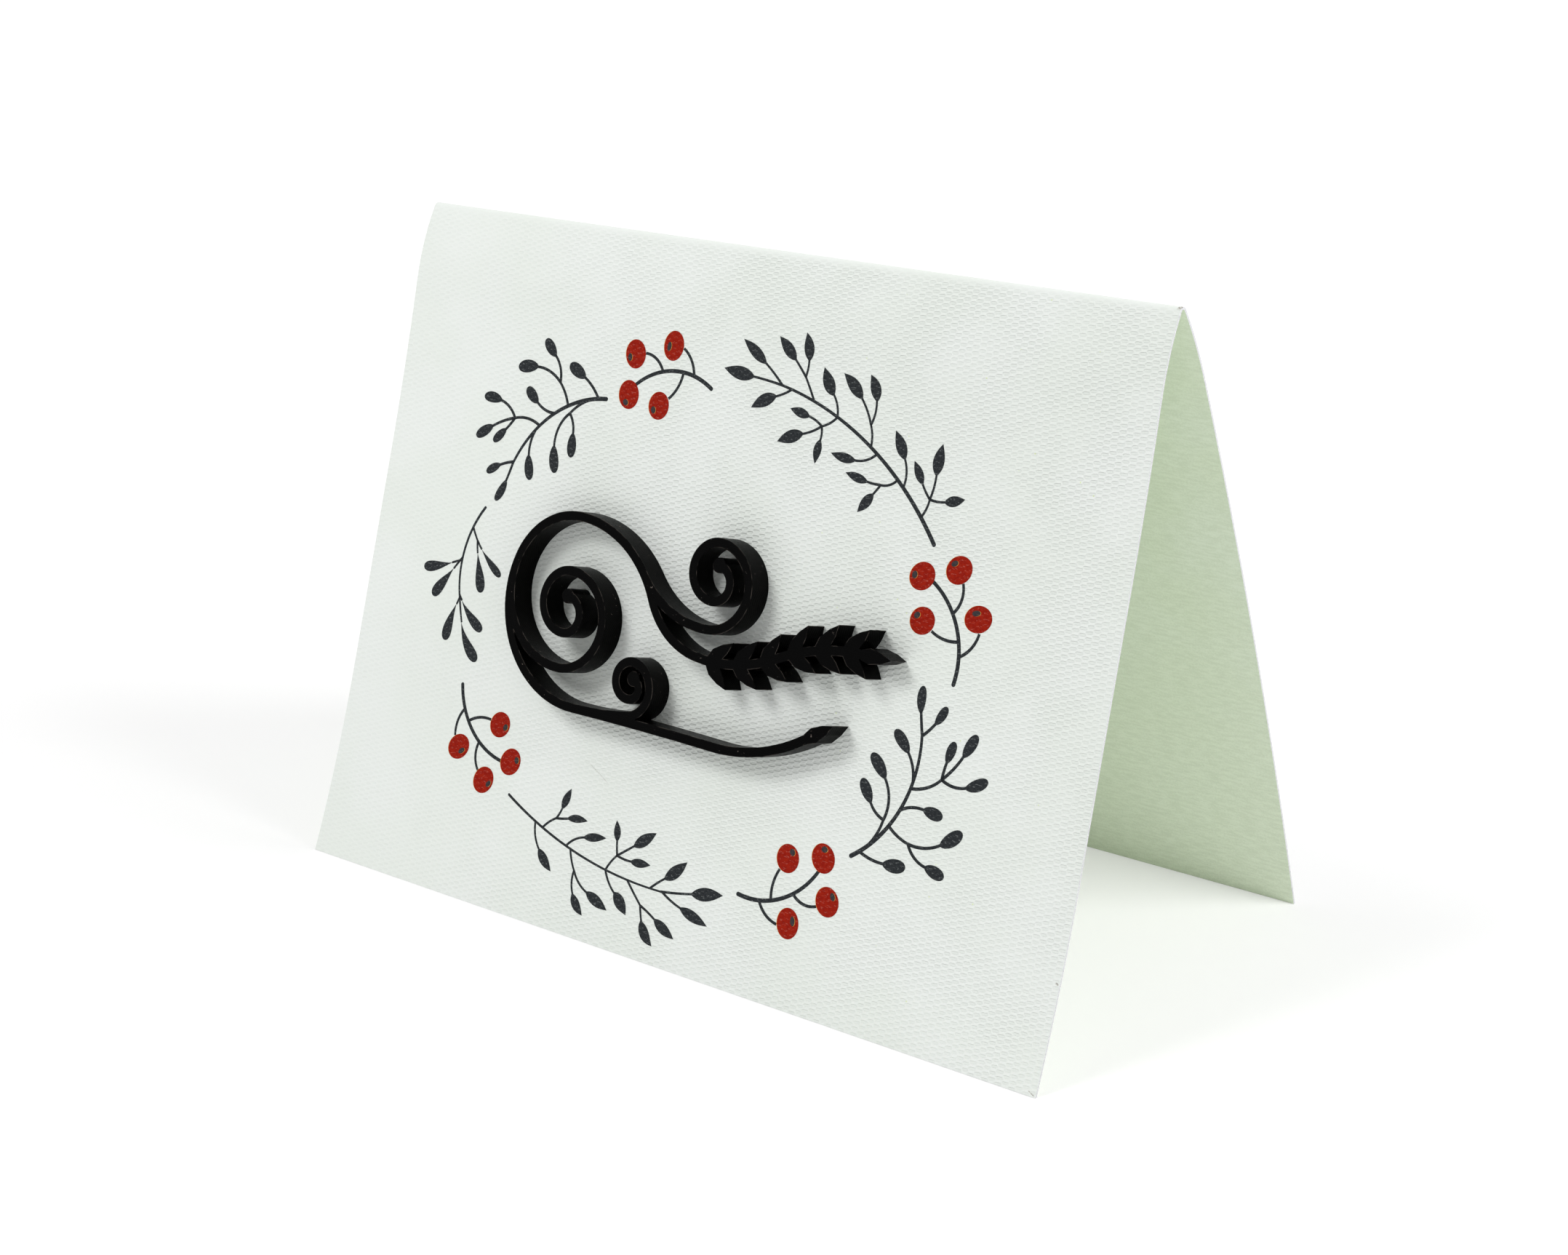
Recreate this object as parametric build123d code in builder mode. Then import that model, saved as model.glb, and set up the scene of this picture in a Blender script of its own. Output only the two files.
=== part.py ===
from build123d import *
import os
from math import atan2, cos, degrees, radians, sin, tan

os.makedirs("parts", exist_ok=True)

# Sheet: one piece of heavy card, folded once, standing like a tent. Sizes in millimetres.
card_width = 139.7
panel_length = 107.95
sheet_thickness = 0.35
foot_trim = 0.2

# Lean of each panel, in degrees from upright, and the stretches of the outer face from the fold down.
fold_radius = 0.8
shoulder_length = 12.0
front_fold_lean = 32.5
front_shoulder_lean = 15.3
front_seat_lean = 18.4
front_foot_lean = 25.1
rear_fold_lean = 32.5
rear_shoulder_lean = 22.1
rear_foot_lean = 16.0

# Raised ornament: a scrolling vine with leaves, printed in plastic and glued flat on the front panel.
flourish_height = 31.2
flourish_depth = 4.0
flourish_drop = 4.5
seat_margin = 3.0
vine_width = 1.4
vine_bead_radius = 1.15
vine_leaf_length = 5.2
vine_leaf_width = 2.3
vine_leaf_sink = 0.6
vine_leaf_outline = [(0.14, 0.68), (0.38, 1.0), (0.72, 0.64)]
vine_leaf_lean = 42.0

# Print: ink laid on the front panel in two colours.
ink_thickness = 0.05
stem_width = 0.5
thin_stem_width = 0.4
pointed_twig_width = 0.3
oval_twig_width = 0.4
drop_twig_width = 0.32
berry_twig_width = 0.38
# Half outlines of the leaves: corners from base to tip, as shares of the length and the half width.
pointed_outline = [(0.27, 0.98), (0.64, 0.92)]
oval_outline = [(0.22, 0.95), (0.82, 0.92)]
drop_outline = [(0.62, 0.93), (0.93, 0.85)]
# How far a twig runs into its leaf, in twig widths: far enough for the leaf to be wider than the twig.
pointed_sink = 1.3
oval_sink = 1.1
drop_sink = 3.4
berry_corners = 14
eye_length = 1.1
eye_width = 0.74

# Stretches of each panel: length along the outer face and lean at its lower end.
fold_length_front = fold_radius * radians(90 - front_fold_lean)
fold_length_rear = fold_radius * radians(90 - rear_fold_lean)
seat_length = flourish_height + 2 * seat_margin
seat_middle = panel_length / 2 + flourish_drop
upper_length = seat_middle - seat_length / 2 - shoulder_length - fold_length_front
foot_length = panel_length - seat_middle - seat_length / 2
rear_length = panel_length - shoulder_length - fold_length_rear

# The wreath is drawn on a panel 108 units long. Reach is how far the bent panel may lie from the
# flat that the wreath is drawn on.
wreath_unit = panel_length / 108
print_reach = panel_length / 18
front_stretches = [
    (fold_length_front, front_fold_lean),
    (shoulder_length, front_shoulder_lean),
    (upper_length, front_seat_lean),
    (seat_length, front_seat_lean),
    (foot_length, front_foot_lean),
]
rear_stretches = [
    (fold_length_rear, rear_fold_lean),
    (shoulder_length, rear_shoulder_lean),
    (rear_length, rear_foot_lean),
]


def panel_edges(side, stretches, depth):
    """Tangent arcs and lines of one panel, at a depth under the outer face. Side is -1 front, 1 rear."""
    point = Vector(0, -depth)
    lean = 90.0
    edges = []
    for length, end_lean in stretches:
        turn = lean - end_lean
        heading = Vector(side * sin(radians(lean)), -cos(radians(lean)))
        if turn == 0:
            edge = Line(point, point + heading * length)
        else:
            radius = length / radians(abs(turn)) - depth * (1 if turn > 0 else -1)
            edge = JernArc(point, heading, radius, -side * turn)
        edges.append(edge)
        point = edge @ 1
        lean = end_lean
    return edges


# Outer face in its own section: the top of the fold is at 0, 0.
with BuildLine():
    front_edges = panel_edges(-1, front_stretches, 0)
    rear_edges = panel_edges(1, rear_stretches, 0)

# The table lies a little above the shorter panel's lower edge, so both feet are cut level with it.
front_end = front_edges[-1] @ 1
rear_end = rear_edges[-1] @ 1
table_level = max(front_end.Y, rear_end.Y) + foot_trim
front_foot = front_end.X + (table_level - front_end.Y) * tan(radians(front_foot_lean))
rear_foot = rear_end.X - (table_level - rear_end.Y) * tan(radians(rear_foot_lean))
section_plane = Plane(
    origin=(0, -(front_foot + rear_foot) / 2, -table_level),
    x_dir=(0, 1, 0),
    z_dir=(1, 0, 0),
)

with BuildPart() as card_sheet:
    with BuildSketch(section_plane):
        with BuildLine():
            outer_front = panel_edges(-1, front_stretches, 0)
            outer_rear = panel_edges(1, rear_stretches, 0)
            inner_front = panel_edges(-1, front_stretches, sheet_thickness)
            inner_rear = panel_edges(1, rear_stretches, sheet_thickness)
            Line(outer_front[-1] @ 1, inner_front[-1] @ 1)
            Line(outer_rear[-1] @ 1, inner_rear[-1] @ 1)
        make_face()
    extrude(amount=card_width / 2, both=True)
    split(bisect_by=Plane.XY, keep=Keep.TOP)

# Plane of the flat stretch of the front panel that the ornament is glued to, seen from the front:
# x to the right along the fold, y up the panel, z out of the card.
seat_edge = front_edges[3]
seat_plane = Plane(
    origin=section_plane.from_local_coords(seat_edge @ 0.5),
    x_dir=(1, 0, 0),
    z_dir=(0, -cos(radians(front_seat_lean)), sin(radians(front_seat_lean))),
)
print_plane = Plane(
    origin=seat_plane.from_local_coords((0, flourish_drop, 0)),
    x_dir=seat_plane.x_dir,
    z_dir=seat_plane.z_dir,
)


def heading_of(angle):
    """Unit vector at an angle in degrees."""
    return Vector(cos(radians(angle)), sin(radians(angle)))


def blade(base, angle, length, width, outline):
    """Leaf from its half outline: shares of the length and of the half width, from base to tip."""
    along = heading_of(angle) * length
    across = heading_of(angle + 90) * (width / 2)
    near = [base + along * up + across * out for up, out in outline]
    far = [base + along * up - across * out for up, out in reversed(outline)]
    tip = base + along
    with BuildLine() as edge:
        Polyline(base, *near, tip, *far, close=True)
    make_face(edge.edges())


def twig(start, angle, length, width):
    """Straight stroke from a start, with its angle in degrees and its length in wreath units."""
    end = start + heading_of(angle) * length * wreath_unit
    with BuildLine() as path:
        Line(start, end)
    trace(path.edges(), line_width=width)
    return end


def leafy_twig(start, reach, leaf, twig_width, sink, outline):
    """Twig with a leaf at its end: the twig's length and angle, the leaf's length, angle and width."""
    length, angle = reach
    leaf_length, leaf_angle, leaf_width = leaf
    end = twig(start, angle, length, twig_width)
    sunk = sink * twig_width
    base = end - heading_of(leaf_angle) * sunk
    blade(base, leaf_angle, leaf_length * wreath_unit + sunk, leaf_width * wreath_unit, outline)


def stem(points, width):
    """Main stem: one arc through three points, in wreath units."""
    with BuildLine() as path:
        arc = ThreePointArc(*[Vector(point) * wreath_unit for point in points])
    trace(path.edges(), line_width=width)
    return arc


def pointed_leaf(start, reach, leaf):
    leafy_twig(start, reach, leaf, pointed_twig_width, pointed_sink, pointed_outline)


def oval_leaf(start, reach, leaf):
    leafy_twig(start, reach, leaf, oval_twig_width, oval_sink, oval_outline)


def drop_leaf(start, reach, leaf):
    leafy_twig(start, reach, leaf, drop_twig_width, drop_sink, drop_outline)


# Motifs of the printed wreath, in wreath units. Each starts at 0, 0 and runs to the right.
def pointed_sprig():
    """Sprig of pointed leaves."""
    with BuildSketch() as sprig:
        arc = stem([(0, 0), (19.1, -5.3), (36.1, -3.6)], stem_width)
        pointed_leaf(arc @ 0.99, (5.2, 19), (5.7, 19, 2.0))
        pointed_leaf(arc @ 0.98, (4.6, -13), (5.5, -8, 1.7))
        pointed_leaf(arc @ 0.92, (3.1, 47), (4.9, 51, 1.9))
        fork = twig(arc @ 0.8, -36, 4.3, pointed_twig_width)
        pointed_leaf(fork, (3.5, -16), (4.5, -17, 1.7))
        pointed_leaf(fork, (2.5, -65), (4.1, -49, 1.7))
        pointed_leaf(arc @ 0.67, (4.0, -36), (3.9, -37, 2.0))
        fork = twig(arc @ 0.67, 56, 3.2, pointed_twig_width)
        pointed_leaf(fork, (2.9, 8), (3.6, 12, 1.3))
        pointed_leaf(fork, (3.9, 44), (4.6, 45, 1.8))
        pointed_leaf(fork, (2.5, 110), (3.1, 112, 1.3))
        fork = twig(arc @ 0.48, -49, 3.3, pointed_twig_width)
        pointed_leaf(fork, (4.4, -25), (4.6, -12, 1.8))
        pointed_leaf(fork, (3.7, -62), (3.6, -41, 1.7))
        pointed_leaf(arc @ 0.44, (4.0, 34), (4.6, 19, 1.3))
        fork = twig(arc @ 0.3, 37, 3.0, pointed_twig_width)
        pointed_leaf(fork, (2.4, 22), (3.9, 15, 1.2))
        pointed_leaf(fork, (2.2, 77), (3.4, 76, 1.5))
        pointed_leaf(arc @ 0.25, (4.7, -49), (4.1, -34, 1.7))
        fork = twig(arc @ 0.11, -86, 3.3, pointed_twig_width)
        pointed_leaf(fork, (2.8, -30), (3.5, -34, 1.3))
        pointed_leaf(fork, (3.6, -72), (4.5, -70, 1.9))
        pointed_leaf(fork, (2.5, -138), (3.3, -134, 1.4))
    return sprig.sketch


def low_sprig():
    """Sprig of pointed leaves at the foot: a flatter stem, and no twig near its root."""
    with BuildSketch() as sprig:
        arc = stem([(0, 0), (18.1, -3.4), (34.2, -2.4)], thin_stem_width)
        pointed_leaf(arc @ 0.98, (5.9, 19), (5.7, 20, 2.0))
        pointed_leaf(arc @ 0.99, (4.2, -12), (5.6, -6, 1.6))
        pointed_leaf(arc @ 0.92, (3.2, 49), (4.8, 52, 1.9))
        fork = twig(arc @ 0.79, -33, 4.6, pointed_twig_width)
        pointed_leaf(fork, (3.5, -15), (4.6, -16, 1.6))
        pointed_leaf(fork, (2.4, -61), (4.3, -38, 1.7))
        pointed_leaf(arc @ 0.66, (4.0, -41), (4.0, -33, 1.9))
        fork = twig(arc @ 0.66, 66, 3.1, pointed_twig_width)
        pointed_leaf(fork, (2.9, 4), (3.7, 13, 1.3))
        pointed_leaf(fork, (3.6, 45), (4.6, 46, 1.8))
        pointed_leaf(fork, (2.3, 113), (3.0, 113, 1.3))
        fork = twig(arc @ 0.44, -54, 3.4, pointed_twig_width)
        pointed_leaf(fork, (4.3, -30), (4.8, -12, 1.7))
        pointed_leaf(fork, (3.6, -72), (3.8, -36, 1.5))
        pointed_leaf(arc @ 0.41, (3.9, 42), (4.3, 20, 1.3))
        fork = twig(arc @ 0.25, 49, 3.1, pointed_twig_width)
        pointed_leaf(fork, (2.4, 20), (3.9, 15, 1.2))
        pointed_leaf(fork, (2.0, 74), (3.4, 80, 1.4))
        pointed_leaf(arc @ 0.2, (4.4, -58), (4.2, -32, 1.6))
    return sprig.sketch
def oval_sprig():
    """Sprig of oval leaves."""
    with BuildSketch() as sprig:
        arc = stem([(0, 0), (11.3, -4.3), (20.8, -2.6)], stem_width)
        oval_leaf(arc @ 0.05, (4.7, -77), (3.6, -70, 2.0))
        fork = twig(arc @ 0.34, -96, 4.3, oval_twig_width)
        oval_leaf(fork, (5.6, -53), (3.7, -37, 1.9))
        oval_leaf(fork, (4.4, -99), (3.2, -86, 1.7))
        oval_leaf(arc @ 0.46, (4.4, -71), (3.0, -82, 1.8))
        fork = twig(arc @ 0.64, -37, 5.2, oval_twig_width)
        oval_leaf(fork, (5.3, -18), (3.6, -12, 1.6))
        oval_leaf(fork, (4.4, -67), (3.8, -46, 1.6))
        oval_leaf(fork, (2.7, 5), (3.0, 2, 1.4))
        oval_leaf(arc @ 0.68, (4.4, 47), (3.7, 60, 1.7))
        oval_leaf(arc @ 0.98, (2.9, -27), (3.0, -14, 1.4))
        oval_leaf(arc @ 0.99, (3.1, 30), (3.7, 19, 1.5))
        fork = twig(arc @ 0.1, -5, 5.2, oval_twig_width)
        oval_leaf(fork, (5.9, 41), (3.9, 60, 1.9))
        oval_leaf(fork, (3.3, 60), (3.5, 50, 1.7))
    return sprig.sketch


def drop_sprig():
    """Sprig of drop-shaped leaves."""
    with BuildSketch() as sprig:
        arc = stem([(0, 0), (7.5, -4.1), (15, -4.2)], thin_stem_width)
        fork = twig(arc @ 0.24, 27, 2.4, drop_twig_width)
        drop_leaf(fork, (1.7, 37), (6.0, 46, 1.3))
        drop_leaf(fork, (2.0, 6), (6.3, 11, 1.9))
        drop_leaf(arc @ 0.59, (2.2, -78), (6.1, -83, 1.7))
        drop_leaf(arc @ 0.56, (2.6, -44), (6.1, -44, 1.9))
        drop_leaf(arc @ 0.93, (1.1, 35), (6.6, 45, 1.7))
        drop_leaf(arc @ 0.96, (1.2, -28), (6.2, -20, 1.9))
        drop_leaf(arc @ 0.99, (3.5, 11), (7.1, 32, 1.9))
    return sprig.sketch


# Berries of one bunch, in wreath units: centre, then the berry's length, width and turn, then the
# direction of its eye, how far the eye lies from the centre, and the eye's turn.
bunch_berries = [
    ((7.3, -6.6), (4.5, 3.8, 75), (2, 0.9, 74)),
    ((15, -5.7), (4.4, 3.9, 93), (19, 1.2, 89)),
    ((10.2, 2), (4.2, 3.9, 80), (28, 1.2, 100)),
    ((16.2, 0), (4.4, 3.9, 94), (60, 1.3, 145)),
]


def bunch_stems():
    """Bare stems of a bunch, ending inside the berries."""
    with BuildSketch() as stems:
        arc = stem([(0, 0), (8, -2.85), (15.4, -1)], stem_width)
        twig(arc @ 0.16, -50, 5.4, berry_twig_width)
        twig(arc @ 0.59, -19, 5.2, berry_twig_width)
        twig(arc @ 0.36, 34, 5.1, berry_twig_width)
    return stems.sketch


def oval_plate(length, width):
    """Oval with straight sides."""
    step = 360 / berry_corners
    corners = []
    for index in range(berry_corners):
        heading = heading_of(index * step)
        corners.append((heading.X * length / 2, heading.Y * width / 2))
    Polygon(*corners)


# Places of the motifs round the middle of the front panel: x and y in wreath units, turn in degrees.
pointed_place = (37.7, 16.3, 155.6)
low_place = (-31.9, -35.4, -8)
oval_places = [(-26.5, 27.6, -135.1), (33.2, -29.0, 75.3)]
drop_place = (-47.2, 7.4, -81.7)
bunch_places = [(-5.8, 32.2, -169), (45.1, -2.3, 120.6), (-45.9, -20.6, -37.4), (14.7, -39.6, 32.5)]


def place(spot):
    """Location of a motif from its x and y in wreath units and its turn."""
    x, y, turn = spot
    return Location((x * wreath_unit, y * wreath_unit, 0), (0, 0, turn))


with BuildSketch() as bunch_fruit:
    for centre, berry, eye in bunch_berries:
        length, width, turn = berry
        with Locations(Location(Vector(centre) * wreath_unit, (0, 0, turn))):
            oval_plate(length * wreath_unit, width * wreath_unit)

with BuildSketch() as bunch_eyes:
    for centre, berry, eye in bunch_berries:
        angle, distance, turn = eye
        middle = (Vector(centre) + heading_of(angle) * distance) * wreath_unit
        with Locations(Location(middle, (0, 0, turn))):
            Rectangle(eye_length, eye_width)

bunch_twigs = bunch_stems()

# Film of ink over the whole outer face of the front panel, from which the print is cut.
with BuildPart() as ink_film:
    with BuildSketch(section_plane):
        with BuildLine():
            film_inner = panel_edges(-1, front_stretches, 0)
            film_outer = panel_edges(-1, front_stretches, -ink_thickness)
            Line(film_inner[0] @ 0, film_outer[0] @ 0)
            Line(film_inner[-1] @ 1, film_outer[-1] @ 1)
        make_face()
    extrude(amount=card_width / 2, both=True)


with BuildPart() as print_sprigs:
    with BuildSketch(print_plane):
        with Locations(place(pointed_place)):
            add(pointed_sprig())
        with Locations(place(low_place)):
            add(low_sprig())
        with Locations(*[place(spot) for spot in oval_places]):
            add(oval_sprig())
        with Locations(place(drop_place)):
            add(drop_sprig())
        with Locations(*[place(spot) for spot in bunch_places]):
            add(bunch_twigs)
        with Locations(*[place(spot) for spot in bunch_places]):
            add(bunch_fruit.sketch, mode=Mode.SUBTRACT)
    extrude(amount=print_reach, both=True)
    add(ink_film.part, mode=Mode.INTERSECT)

with BuildPart() as print_berries:
    with BuildSketch(print_plane):
        with Locations(*[place(spot) for spot in bunch_places]):
            add(bunch_fruit.sketch)
            add(bunch_eyes.sketch, mode=Mode.SUBTRACT)
    extrude(amount=print_reach, both=True)
    add(ink_film.part, mode=Mode.INTERSECT)

with BuildPart() as print_berry_eyes:
    with BuildSketch(print_plane):
        with Locations(*[place(spot) for spot in bunch_places]):
            add(bunch_eyes.sketch)
    extrude(amount=print_reach, both=True)
    add(ink_film.part, mode=Mode.INTERSECT)


def vine(points, tangent):
    """Stroke of the ornament: arcs that join smoothly through the points, from a first heading."""
    with BuildLine() as path:
        arcs = [TangentArc(points[0], points[1], tangent=tangent)]
        for point in points[2:]:
            arcs.append(TangentArc(arcs[-1] @ 1, point, tangent=arcs[-1] % 1))
    trace(path.edges(), line_width=vine_width)
    return arcs


def bead(point, radius):
    """Round end of a stroke."""
    with Locations(point):
        Circle(radius)


def vine_leaf(arc, share, lean):
    """Leaf that leaves a stroke at a share of its arc, its base sunk in the stroke."""
    heading = arc % share
    angle = degrees(atan2(heading.Y, heading.X)) + lean
    base = arc @ share - heading_of(angle) * vine_leaf_sink
    blade(base, angle, vine_leaf_length + vine_leaf_sink, vine_leaf_width, vine_leaf_outline)


def spots(*shares):
    """Points of the ornament from shares of half its height between the outermost strokes."""
    rise = (flourish_height - vine_width) / 2
    return [(across * rise, up * rise) for across, up in shares]


# The big scroll winds out across one upright line, then runs on as a tendril to the right.
scroll_line = -1.58
scroll_points = spots(*[(scroll_line, up) for up in (0.13, -0.25, 0.39, -0.61, 0.95)])
tendril_points = spots((-0.50, 0.30), (0.17, -0.15), (1.14, 0.03), (2.08, 0.26))
upper_scroll_points = spots((0.26, 0.14), (0.26, 1.0), (0.26, 0.42), (0.26, 0.78))
tail_points = spots((-1.30, -0.97), (0.55, -0.97), (1.62, -0.66))
lower_scroll_points = spots((-0.56, -0.90), (-0.56, -0.36), (-0.56, -0.73), (-0.56, -0.52))
leaf_shares = (0.16, 0.49, 0.82)

with BuildPart() as raised_flourish:
    with BuildSketch(seat_plane):
        main = vine(scroll_points + tendril_points, (1, 0))
        bead(main[0] @ 0, vine_bead_radius)
        # Branches leave the main vine along its own heading, the tail against it.
        upper = vine([main[4] @ 0.8] + upper_scroll_points, main[4] % 0.8)
        bead(upper[-1] @ 1, vine_bead_radius)
        tail = vine([main[3] @ 0.6] + tail_points, (main[3] % 0.6) * -1)
        lower = vine([tail[1] @ 0.05] + lower_scroll_points, tail[1] % 0.05)
        bead(lower[-1] @ 1, vine_bead_radius)
        # Leaves in pairs along the tendril, and one at its end and at the end of the tail.
        for arc in main[6:8]:
            for share in leaf_shares:
                vine_leaf(arc, share, vine_leaf_lean)
                vine_leaf(arc, share, -vine_leaf_lean)
        vine_leaf(main[-1], 1, 0)
        vine_leaf(tail[-1], 1, 0)
    extrude(amount=flourish_depth)

sub_parts = {
    "card_sheet": card_sheet,
    "raised_flourish": raised_flourish,
    "print_sprigs": print_sprigs,
    "print_berries": print_berries,
    "print_berry_eyes": print_berry_eyes,
}
for name, sub_part in sub_parts.items():
    sub_part.part.label = name
    export_step(sub_part.part, f"parts/{name}.step")
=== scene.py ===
import math

import bpy
import numpy as np
from mathutils import Matrix, Vector


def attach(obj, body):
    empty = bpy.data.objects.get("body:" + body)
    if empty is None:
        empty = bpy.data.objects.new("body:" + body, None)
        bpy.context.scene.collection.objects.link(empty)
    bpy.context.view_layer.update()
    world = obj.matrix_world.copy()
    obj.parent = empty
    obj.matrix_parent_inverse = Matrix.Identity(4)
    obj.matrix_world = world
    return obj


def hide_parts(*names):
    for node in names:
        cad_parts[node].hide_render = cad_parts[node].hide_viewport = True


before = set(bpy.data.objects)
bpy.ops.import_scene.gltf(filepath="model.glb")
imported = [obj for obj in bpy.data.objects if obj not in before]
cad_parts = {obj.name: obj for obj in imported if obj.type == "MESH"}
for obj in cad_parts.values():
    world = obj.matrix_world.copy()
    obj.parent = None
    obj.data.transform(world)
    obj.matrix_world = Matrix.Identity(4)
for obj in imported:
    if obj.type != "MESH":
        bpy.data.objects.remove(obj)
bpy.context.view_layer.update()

MM = 0.001
# The sheet's map holds millimetres on the panel divided by this.
map_unit = 100

# Sizes of the card in millimetres, its taper as a share, its leans in degrees from upright.
width = 139.7
panel = 107.95
thickness = 0.35
foot_trim = 0.2
fold_taper = 0.0206
fold_radius = 0.8
shoulder = 12.0
seat_height = 37.2
seat_drop = 4.5
front_leans = (32.5, 15.3, 18.4, 18.4, 25.1)
rear_leans = (32.5, 22.1, 16.0)

fold_front = fold_radius * math.radians(90 - front_leans[0])
fold_rear = fold_radius * math.radians(90 - rear_leans[0])
seat_middle = panel / 2 + seat_drop
front_lengths = (
    fold_front,
    shoulder,
    seat_middle - seat_height / 2 - shoulder - fold_front,
    seat_height,
    panel - seat_middle - seat_height / 2,
)
rear_lengths = (fold_rear, shoulder, panel - shoulder - fold_rear)


def profile(lengths, leans, side, steps=400):
    """One panel's outer face as arrays: run from the fold, y, z and lean. The fold's top is at 0, 0."""
    run, y, z, lean = [0.0], [0.0], [0.0], [90.0]
    for length, end in zip(lengths, leans):
        angles = np.radians(np.linspace(lean[-1], end, steps + 1))
        step = length / steps
        middle = (angles[1:] + angles[:-1]) / 2
        y.extend(y[-1] + side * np.cumsum(np.sin(middle)) * step)
        z.extend(z[-1] - np.cumsum(np.cos(middle)) * step)
        run.extend(run[-1] + step * np.arange(1, steps + 1))
        lean.extend(np.degrees(angles[1:]))
    return np.array(run), np.array(y), np.array(z), np.array(lean)


front = profile(front_lengths, front_leans, -1)
rear = profile(rear_lengths, rear_leans, 1)
level = max(front[2][-1], rear[2][-1]) + foot_trim
front_foot = front[1][-1] + (level - front[2][-1]) * math.tan(math.radians(front_leans[-1]))
rear_foot = rear[1][-1] - (level - rear[2][-1]) * math.tan(math.radians(rear_leans[-1]))
middle_y = (front_foot + rear_foot) / 2


def on_panel(run, depth, side=-1):
    """y and z at a run from the fold and a depth under the outer face. The front's side is -1."""
    runs, ys, zs, leans = front if side < 0 else rear
    lean = np.radians(np.interp(run, runs, leans))
    y = np.interp(run, runs, ys) - side * np.cos(lean) * depth - middle_y
    z = np.interp(run, runs, zs) - np.sin(lean) * depth - level
    return y, z


def narrowing(run):
    """The card as seen narrows a little towards the fold."""
    return 1 - fold_taper * (1 - np.asarray(run) / panel)


def make_object(name, verts, faces, slots, materials, uvs):
    """Smooth mesh object from points in millimetres, with places on the sheet in its map "run"."""
    mesh = bpy.data.meshes.new(name)
    mesh.from_pydata([tuple(v) for v in np.asarray(verts) * MM], [], faces)
    for material in materials:
        mesh.materials.append(material)
    mesh.polygons.foreach_set("material_index", slots)
    mesh.polygons.foreach_set("use_smooth", [True] * len(faces))
    layer = mesh.uv_layers.new(name="run")
    loops = np.empty(len(mesh.loops), dtype=np.int32)
    mesh.loops.foreach_get("vertex_index", loops)
    layer.data.foreach_set("uv", (np.asarray(uvs)[loops] / map_unit).ravel().astype(np.float32))
    mesh.update()
    obj = bpy.data.objects.new(name, mesh)
    bpy.context.scene.collection.objects.link(obj)
    return obj


def dress(obj, node):
    """Let an object stand for a node of the source and follow the part's body."""
    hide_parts(node)
    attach(obj, "root")


# Materials
def srgb(*levels):
    """Linear colour of an 8-bit screen colour."""
    shares = [level / 255 for level in levels]
    linear = [c / 12.92 if c <= 0.04045 else ((c + 0.055) / 1.055) ** 2.4 for c in shares]
    return (*linear, 1.0)


# Colours of the paper and the plastic, among them painted shade, painted light and painted glints, then
# how deep their textures are pressed.
outer_white, outer_shade = srgb(238, 242, 238), srgb(235, 240, 234)
# Painted shade for the hollows of the canvas.
outer_hollow_shade = srgb(212, 219, 212)
speck_yellow = srgb(221, 236, 160)
# Colour of the marks: dirt of wear, and painted shade at the bent corner and the crushed fold end.
dirt_and_shade_brown = srgb(128, 116, 102)
inner_pale, inner_green = srgb(239, 248, 231), srgb(236, 246, 225)
# Painted light: the inner face's lighter colour near the foot.
inner_foot_painted_lighter = srgb(241, 251, 230)
inner_dull = srgb(200, 212, 186)
edge_dark, edge_light = srgb(172, 172, 176), srgb(196, 197, 198)
plastic_black = srgb(3, 3, 3)
# Painted glint, with some wear, for the plastic's rims.
rim_glint = srgb(96, 90, 84)
scuff_grey = srgb(112, 104, 98)
canvas_depth = 0.08 * MM
felt_depth = 0.03 * MM
fibre_depth = 0.04 * MM
ink_depth = 0.04 * MM
layer_depth = 0.014 * MM

# Inks: colour, shade and fleck, share of the flecks that shows, and scale of the mottle.
inks = {
    "dark ink": ((36, 39, 42), (50, 53, 55), (116, 120, 120), 0.6, 3.0),
    "red ink": ((156, 32, 13), (140, 22, 9), (196, 112, 100), 0.4, 1.6),
    "yellow ink": ((222, 150, 62), (214, 130, 50), (236, 196, 140), 0.4, 2.0),
    "dark eye ink": ((52, 50, 54), (66, 60, 60), (120, 104, 98), 0.4, 3.0),
}


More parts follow.
